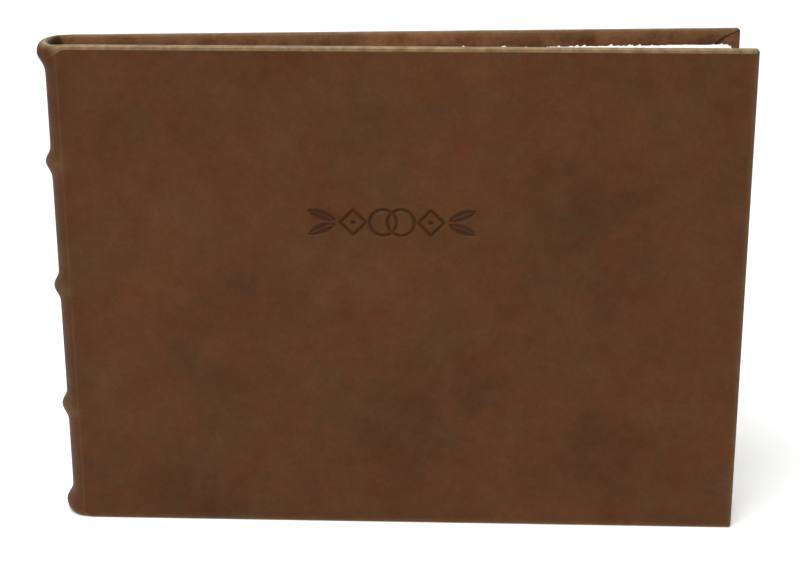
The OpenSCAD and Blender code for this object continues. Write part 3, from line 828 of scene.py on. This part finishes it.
def fibrous(name, tint, dark, share, cloud_mm, felt_mm, roughness):
    """Matt stuff made of fibre: a tint clouded with a darker share of itself, over a felt's dimples."""
    material, tree, shader, here = new_material(name)
    links = {"Vector": here, "Scale": 1 / (cloud_mm * MM), "Detail": 5, "Roughness": 0.65}
    cloud = add(tree, NOISE, links, noise_dimensions="4D")
    links = {"Value": cloud, "From Min": 0.25, "From Max": 0.75, "To Max": share}
    amount = add(tree, RANGE, links)
    links = {0: amount, MIX_A: rgba(tint), MIX_B: rgba(tint, dark)}
    tree.links.new(add(tree, MIX, links, MIX_OUT, data_type="RGBA"), shader.inputs["Base Color"])
    links = {"Vector": here, "Scale": 1 / (felt_mm * MM), "Detail": 4, "Roughness": 0.6}
    felt = add(tree, NOISE, links, noise_dimensions="4D")
    bump = add(tree, BUMP, {"Height": felt, "Strength": 0.25, "Distance": 0.1 * MM})
    tree.links.new(bump, shader.inputs["Normal"])
    shader.inputs["Roughness"].default_value = roughness
    return material


def mould_paper(name, tint, felt_mm):
    """Paper from a mould, dried on felt: matt and faintly cloudy, with soft dimples."""
    return fibrous(name, tint, 0.8, 0.12, 7, felt_mm, 0.92)


def milled_card(name, tint):
    """Grey or kraft board, made in a press from waste fibre: matt, with flecks of about 1 mm."""
    return fibrous(name, tint, 0.55, 0.45, 1.1, 0.6, 0.95)


def woven_linen(name, tint, thread_mm):
    """Plain-woven flax or cotton: threads over and under, a thread's width apart."""
    material, tree, shader, here = new_material(name)
    turned = add(tree, "ShaderNodeMapping", {"Vector": here, "Rotation": (math.pi / 2, 0, 0)})
    links = {"Vector": turned, "Scale": 0.16 / (thread_mm * MM)}
    warp = add(tree, "ShaderNodeTexWave", links, "Fac", bands_direction="X")
    weft = add(tree, "ShaderNodeTexWave", links, "Fac", bands_direction="Y")
    weave = add(tree, MATH, {0: warp, 1: weft}, operation="MULTIPLY")
    links = {0: weave, MIX_A: rgba(tint, 0.5), MIX_B: rgba(tint)}
    tree.links.new(add(tree, MIX, links, MIX_OUT, data_type="RGBA"), shader.inputs["Base Color"])
    bump = add(tree, BUMP, {"Height": weave, "Strength": 0.6, "Distance": 0.1 * MM})
    tree.links.new(bump, shader.inputs["Normal"])
    shader.inputs["Roughness"].default_value = 0.85
    return material


def worked_silk(paper):
    """Two silks worked in turn over a core, with the sheen of a spun thread."""
    material, tree, shader, here = new_material("worked_silk")
    stripe = add(tree, ATTRIBUTE, out="Fac", attribute_name="stripe")
    links = {0: stripe, MIX_A: rgba(paper.silk), MIX_B: rgba(paper.silk_dark)}
    tone = add(tree, MIX, links, MIX_OUT, data_type="RGBA")
    links = {"Vector": here, "Scale": 1 / (0.8 * MM), "Detail": 3}
    cloud = add(tree, NOISE, links, noise_dimensions="4D")
    amount = add(tree, MATH, {0: cloud, 1: 0.3}, operation="MULTIPLY")
    links = {0: amount, MIX_A: tone, MIX_B: rgba(paper.silk_dark, 0.6)}
    tree.links.new(add(tree, MIX, links, MIX_OUT, data_type="RGBA"), shader.inputs["Base Color"])
    shader.inputs["Roughness"].default_value = 0.45
    shader.inputs["Sheen Weight"].default_value = 0.4
    return material


# --- Operators ------------------------------------------------------------------------------


class GUESTBOOK_OT_covers(bpy.types.Operator):
    """Build the leather of both covers, with the ornament on the front one"""

    bl_idname = "guestbook.covers"
    bl_label = "Cover leather"

    def execute(self, context):
        leather = measures(context.scene.guestbook_leather)
        tooling = measures(context.scene.guestbook_tooling)
        material = stained_calf(leather)
        for side in ("front", "back"):
            piece = cover_skin(side, leather, tooling, material)
            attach(piece, f"{side}_cover")
            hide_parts(f"{side}_cover_leather")
        return {"FINISHED"}


class GUESTBOOK_OT_spine(bpy.types.Operator):
    """Build the leather of the spine and of the two joints"""

    bl_idname = "guestbook.spine"
    bl_label = "Spine and joint leather"

    def execute(self, context):
        leather = measures(context.scene.guestbook_leather)
        material = bpy.data.materials["stained_calf"]
        spine = spine_skin(leather, material)
        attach(spine, "spine")
        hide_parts("spine_leather")
        for side, sign in (("front", -1), ("back", 1)):
            piece = joint_skin(side, leather, material)
            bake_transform(piece)
            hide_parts(f"{side}_joint_leather")
        return {"FINISHED"}


class GUESTBOOK_OT_leaves(bpy.types.Operator):
    """Build the deckle-edged leaves of the sections and the two flyleaves"""

    bl_idname = "guestbook.leaves"
    bl_label = "Leaves"

    def execute(self, context):
        paper = measures(context.scene.guestbook_paper)
        text = mould_paper("mould_made_paper", paper.paper, 0.9)
        ends = mould_paper("laid_end_paper", paper.end_paper, 0.6)
        step = paper.leaf_t + paper.leaf_gap
        folds = [step * (paper.sheets - s) - step / 2 for s in range(paper.sheets)]
        for number in range(1, SECTIONS + 1):
            side = "front" if number <= SECTIONS // 2 else "back"
            node = f"section_{number}"
            piece = leaves(f"{node}_leaves", f"{node}_turn", side, node, folds, paper, number, text)
            self.bend(piece, node, paper)
            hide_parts(node)
        for side, seed in (("front", 31), ("back", 32)):
            node = f"{side}_flyleaf"
            piece = leaves(f"{node}_sheet", f"{node}_turn", side, node, [0], paper, seed, ends)
            self.bend(piece, node, paper)
            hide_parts(node)
        return {"FINISHED"}

    def bend(self, piece, node, paper):
        """Bakes the placing of a section's leaves or a flyleaf into their points."""
        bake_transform(piece)


class GUESTBOOK_OT_end_bands(bpy.types.Operator):
    """Build the silk end bands at head and tail"""

    bl_idname = "guestbook.end_bands"
    bl_label = "End bands"

    def execute(self, context):
        material = worked_silk(measures(context.scene.guestbook_paper))
        for node in ("head_band", "tail_band"):
            piece = end_band_silk(node, material)
            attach(piece, "spine")
            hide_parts(node)
        return {"FINISHED"}


class GUESTBOOK_OT_inner_finishes(bpy.types.Operator):
    """Finish the boards, linings, tapes and other inner pieces that the frame already shapes"""

    bl_idname = "guestbook.inner_finishes"
    bl_label = "Inner finishes"

    def execute(self, context):
        paper = measures(context.scene.guestbook_paper)
        board = milled_card("milled_board", paper.card)
        kraft = milled_card("brown_kraft", paper.kraft)
        tape = woven_linen("woven_tape", paper.linen, 0.6)
        mull = woven_linen("open_mull", paper.linen, 1.2)
        lining = mould_paper("soft_lining", paper.end_paper, 1.5)
        ends = bpy.data.materials["laid_end_paper"]
        finishes = {
            "board": board, "spine_inlay": board, "raised_band": board, "hollow_tube": kraft,
            "sewing": tape, "cap_cord": tape, "mull": mull, "lining": lining, "pastedown": ends,
        }
        for name, piece in frame["nodes"].items():
            for part, material in finishes.items():
                if part in name:
                    for slot in piece.material_slots:
                        slot.material = material
        return {"FINISHED"}


class GUESTBOOK_OT_stage(bpy.types.Operator):
    """Set up the pale floor, the soft lights and the camera"""

    bl_idname = "guestbook.stage"
    bl_label = "Stage"

    def execute(self, context):
        stage = context.scene.guestbook_stage
        scene = context.scene
        scene.view_settings.view_transform = "Standard"
        floor_mesh = bpy.data.meshes.new("floor")
        reach = 12.0  # metres
        corners = [(-reach, -reach, 0), (reach, -reach, 0), (reach, reach, 0), (-reach, reach, 0)]
        floor_mesh.from_pydata(corners, [], [(0, 1, 2, 3)])
        floor = bpy.data.objects.new("floor", floor_mesh)
        scene.collection.objects.link(floor)
        material, _, shader, _ = new_material("pale_floor")
        shader.inputs["Base Color"].default_value = rgba(stage.floor)
        shader.inputs["Roughness"].default_value = 0.9
        shader.inputs["Emission Color"].default_value = rgba(stage.floor)
        shader.inputs["Emission Strength"].default_value = stage.glow
        floor_mesh.materials.append(material)
        world = bpy.data.worlds.new("white_surroundings")
        world.use_nodes = True
        world.node_tree.nodes["Background"].inputs["Color"].default_value = (1, 1, 1, 1)
        world.node_tree.nodes["Background"].inputs["Strength"].default_value = stage.sky
        scene.world = world
        self.lamp(scene, "top", (-0.25, -0.45, 1.3), 0.7, stage.top)
        self.lamp(scene, "rear", (0.1, 1.9, 0.95), 1.4, stage.rear)
        self.camera(scene, stage)
        return {"FINISHED"}

    def lamp(self, scene, name, spot, width, power):
        """A square lamp at a spot in metres, which faces the book's middle."""
        data = bpy.data.lights.new(name, "AREA")
        data.size = width
        data.energy = power
        lamp = bpy.data.objects.new(name, data)
        lamp.location = spot
        lamp.visible_camera = False
        aim = Matrix.Translation((0, 0, 0.1)).translation - lamp.location
        lamp.rotation_euler = aim.to_track_quat("-Z", "Y").to_euler()
        scene.collection.objects.link(lamp)

    def camera(self, scene, stage):
        """The camera, from its pitch, yaw and roll."""
        ahead = np.array([
            math.sin(stage.yaw) * math.cos(stage.pitch),
            math.cos(stage.yaw) * math.cos(stage.pitch),
            -math.sin(stage.pitch),
        ])
        level = np.array([math.cos(stage.yaw), -math.sin(stage.yaw), 0.0])
        upright = np.cross(level, ahead)
        right = level * math.cos(stage.roll) + upright * math.sin(stage.roll)
        up = upright * math.cos(stage.roll) - level * math.sin(stage.roll)
        data = bpy.data.cameras.new("camera")
        data.lens = stage.lens
        data.sensor_width = 36.0
        camera = bpy.data.objects.new("camera", data)
        turn = Matrix(np.stack([right, up, -ahead], 1).tolist()).to_4x4()
        spot = np.array([HINGE_X, MID_Y, 0]) * MM + np.array(stage.spot)
        camera.matrix_world = Matrix.Translation(spot.tolist()) @ turn
        scene.collection.objects.link(camera)
        scene.camera = camera


OPERATORS = (
    GUESTBOOK_OT_stage,
    GUESTBOOK_OT_covers,
    GUESTBOOK_OT_spine,
    GUESTBOOK_OT_leaves,
    GUESTBOOK_OT_end_bands,
    GUESTBOOK_OT_inner_finishes,
)
GROUPS = {
    "guestbook_leather": GuestBookLeather,
    "guestbook_tooling": GuestBookTooling,
    "guestbook_paper": GuestBookPaper,
    "guestbook_stage": GuestBookStage,
}


class GUESTBOOK_PT_panel(bpy.types.Panel):
    """Lists the guest book's pieces and their sizes and colours"""

    bl_idname = "GUESTBOOK_PT_panel"
    bl_label = "Guest Book"
    bl_space_type = "VIEW_3D"
    bl_region_type = "UI"
    bl_category = "Guest Book"

    def draw(self, context):
        for operator in OPERATORS:
            self.layout.operator(operator.bl_idname)
        for name, group in GROUPS.items():
            box = self.layout.box()
            box.label(text=group.__doc__)
            for key in group.__annotations__:
                box.prop(getattr(context.scene, name), key)


def register():
    for group in GROUPS.values():
        bpy.utils.register_class(group)
    for operator in OPERATORS:
        bpy.utils.register_class(operator)
    bpy.utils.register_class(GUESTBOOK_PT_panel)
    for name, group in GROUPS.items():
        setattr(bpy.types.Scene, name, bpy.props.PointerProperty(type=group))


def unregister():
    for name in GROUPS:
        delattr(bpy.types.Scene, name)
    bpy.utils.unregister_class(GUESTBOOK_PT_panel)
    for operator in reversed(OPERATORS):
        bpy.utils.unregister_class(operator)
    for group in reversed(GROUPS.values()):
        bpy.utils.unregister_class(group)


def main():
    """Registers the add-on and builds every piece."""
    register()
    for operator in OPERATORS:
        group, name = operator.bl_idname.split(".")
        getattr(getattr(bpy.ops, group), name)()


if __name__ == "__main__":
    main()
